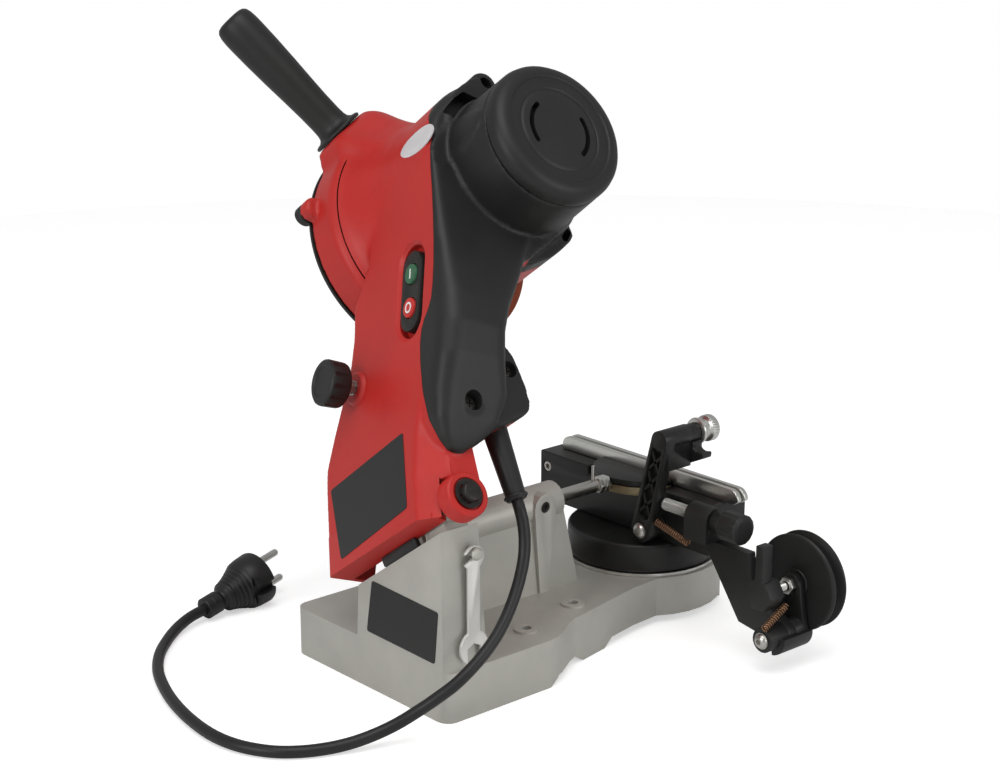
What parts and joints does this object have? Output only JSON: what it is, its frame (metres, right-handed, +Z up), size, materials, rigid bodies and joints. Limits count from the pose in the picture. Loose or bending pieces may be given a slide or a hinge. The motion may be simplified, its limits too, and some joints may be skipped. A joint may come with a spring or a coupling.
{
  "type": "chainsaw sharpener",
  "caption": "Bench chainsaw sharpener with a tilting wheel head on a cast base, a swivelling chain vise, an adjustable stop and a guide roller.",
  "frame": {"origin": "on the bench under the cross rib at the middle of the base", "axes": "+Z up, -Y toward the vise at the front, -X toward the motor and the guide roller"},
  "size_m": [0.3832, 0.4028, 0.391],
  "materials": {
    "cast_aluminium": "fine-grained light grey casting, shot-blasted",
    "zinc": "bright zinc plating",
    "steel": "turned bright steel",
    "dark_steel": "blackened steel",
    "brass": "dull brass",
    "spring_steel": "copper-brown spring wire",
    "red_plastic": "satin red moulding",
    "black_plastic": "fine-textured black moulding",
    "black_paint": "satin black paint on a casting",
    "rubber": "soft black",
    "abrasive": "coarse brown-red vitrified grit",
    "green_button": "satin green",
    "red_button": "satin red",
    "copper_winding": "enamelled copper wire"
  },
  "bodies": {
    "base": {"base_casting": "cast_aluminium", "angle_scale_ring": "zinc", "hinge_pin": "dark_steel", "hinge_pin_ring": "dark_steel", "return_spring": "spring_steel", "rest_bumper": "rubber", "wrench_peg": "steel", "rod_set_screw": "dark_steel", "swivel_bolt": "steel", "power_cord": "rubber", "plug_body": "rubber", "plug_pin_upper": "zinc", "plug_pin_lower": "zinc"},
    "wrench": {"wrench": "zinc"},
    "push_rod": {"push_rod": "steel", "push_rod_bolt": "zinc", "push_rod_nut": "zinc", "rod_pin": "steel"},
    "vise": {"table_disc": "black_paint", "vise_block": "black_paint", "front_rail": "zinc", "block_screw": "steel", "end_block": "black_plastic", "stop_pivot_screw": "steel", "roller_arm": "black_plastic", "stop_spring": "spring_steel"},
    "clamp": {"rear_rail": "zinc", "clamp_plate": "black_paint", "clamp_ring": "brass"},
    "stop_arm": {"stop_lever": "black_plastic"},
    "pawl": {"stop_pawl": "black_plastic"},
    "thumb_nut": {"thumb_nut": "zinc"},
    "stop_screw": {"stop_screw": "zinc"},
    "adjusting_knob": {"adjusting_knob": "black_plastic"},
    "roller_arm": {"roller_lever": "black_plastic", "roller_pivot_screw": "steel", "roller_bolt": "zinc", "roller_nut": "zinc", "roller_spring": "spring_steel"},
    "wing_knob": {"wing_knob": "black_plastic"},
    "roller": {"chain_roller": "black_plastic"},
    "head": {"head_shell": "red_plastic", "motor_cover": "black_plastic", "motor_end_cap": "black_plastic", "guard_cover": "black_plastic", "cover_screw_front": "dark_steel", "cover_screw_low": "dark_steel", "handle": "black_plastic", "switch_plate": "black_plastic", "strain_relief": "rubber", "stator": "copper_winding", "shaft_bearing": "steel", "clamp_cam": "steel"},
    "spindle": {"armature_shaft": "steel", "grinding_wheel": "abrasive", "wheel_nut": "steel"},
    "start_button": {"start_button": "green_button"},
    "stop_button": {"stop_button": "red_button"},
    "depth_screw": {"depth_screw": "zinc"},
    "depth_knob": {"depth_knob": "black_plastic"}
  },
  "joints": [
    {"name": "head_swing", "type": "hinge", "parent": "base", "child": "head", "pos_m": [0, 0.131, 0.086], "axis": [0.8192, 0, -0.5736], "range_deg": [0, 36], "stiffness_Nm_per_rad": 2, "springref_deg": -85.94, "deforming": ["power_cord"]},
    {"name": "wheel_spin", "type": "hinge", "parent": "head", "child": "spindle", "pos_m": [0.10574, 0.01337, 0.23702], "axis": [-0.8192, 0, 0.5736], "continuous": true},
    {"name": "start_press", "type": "slide", "parent": "head", "child": "start_button", "axis": [-0.2149, -0.9272, -0.3069], "range_m": [0, 0.0015], "stiffness_N_per_m": 300, "springref_m": -0.0005},
    {"name": "stop_press", "type": "slide", "parent": "head", "child": "stop_button", "axis": [-0.2149, -0.9272, -0.3069], "range_m": [0, 0.0015], "stiffness_N_per_m": 300, "springref_m": -0.0005},
    {"name": "depth_slide", "type": "slide", "parent": "head", "child": "depth_screw", "axis": [-0.2149, -0.9272, -0.3069], "range_m": [-0.00374, 0.0013]},
    {"name": "depth_turn", "type": "hinge", "parent": "depth_screw", "child": "depth_knob", "pos_m": [0.04, 0.09504, 0.16665], "axis": [-0.2149, -0.9272, -0.3069], "range_deg": [-1080, 380]},
    {"name": "rod_push", "type": "slide", "parent": "base", "child": "push_rod", "axis": [0, -1, 0], "range_m": [0, 0.0014]},
    {"name": "table_swivel", "type": "hinge", "parent": "base", "child": "vise", "pos_m": [0, -0.089, 0.033], "axis": [0, 0, 1], "range_deg": [-35, 35]},
    {"name": "clamp_slide", "type": "slide", "parent": "vise", "child": "clamp", "axis": [0, -1, 0], "range_m": [0, 0.00102]},
    {"name": "stop_swing", "type": "hinge", "parent": "vise", "child": "stop_arm", "pos_m": [-0.0325, -0.059, 0.062], "axis": [0, 1, 0], "range_deg": [-5.7, 1], "deforming": ["stop_spring"]},
    {"name": "pawl_flip", "type": "hinge", "parent": "stop_arm", "child": "pawl", "pos_m": [-0.0475, -0.084, 0.126], "axis": [0, 1, 0], "range_deg": [-20, 100]},
    {"name": "thumb_nut_turn", "type": "hinge", "parent": "stop_arm", "child": "thumb_nut", "pos_m": [-0.0475, -0.095, 0.126], "axis": [0, 1, 0], "range_deg": [-180, 180]},
    {"name": "screw_travel", "type": "slide", "parent": "vise", "child": "stop_screw", "axis": [1, 0, 0], "range_m": [-0.00249, 0.00041]},
    {"name": "knob_turn", "type": "hinge", "parent": "stop_screw", "child": "adjusting_knob", "pos_m": [-0.108, -0.0622, 0.0825], "axis": [1, 0, 0], "range_deg": [-720, 120]},
    {"name": "roller_swing", "type": "hinge", "parent": "vise", "child": "roller_arm", "pos_m": [-0.146, -0.065, 0.023], "axis": [0, 1, 0], "range_deg": [-25, 15]},
    {"name": "wing_turn", "type": "hinge", "parent": "roller_arm", "child": "wing_knob", "pos_m": [-0.141, -0.055, 0.0506], "axis": [0, 1, 0], "range_deg": [-90, 90]},
    {"name": "roller_spin", "type": "hinge", "parent": "roller_arm", "child": "roller", "pos_m": [-0.141, -0.089, 0.0506], "axis": [0, 1, 0], "continuous": true},
    {"name": "wrench_swing", "type": "hinge", "parent": "base", "child": "wrench", "pos_m": [-0.073, 0.1233, 0.1026], "axis": [1, 0, 0], "range_deg": [-25, 25]}
  ],
  "couplings": [
    {"joint": "rod_push", "follows": "head_swing", "m_per_rad": 0.0022},
    {"joint": "clamp_slide", "follows": "head_swing", "m_per_rad": 0.0016},
    {"joint": "depth_turn", "follows": "depth_slide", "rad_per_m": 5026.5},
    {"joint": "knob_turn", "follows": "screw_travel", "rad_per_m": 5026.5},
    {"joint": "stop_swing", "follows": "screw_travel", "rad_per_m": 39.207}
  ]
}
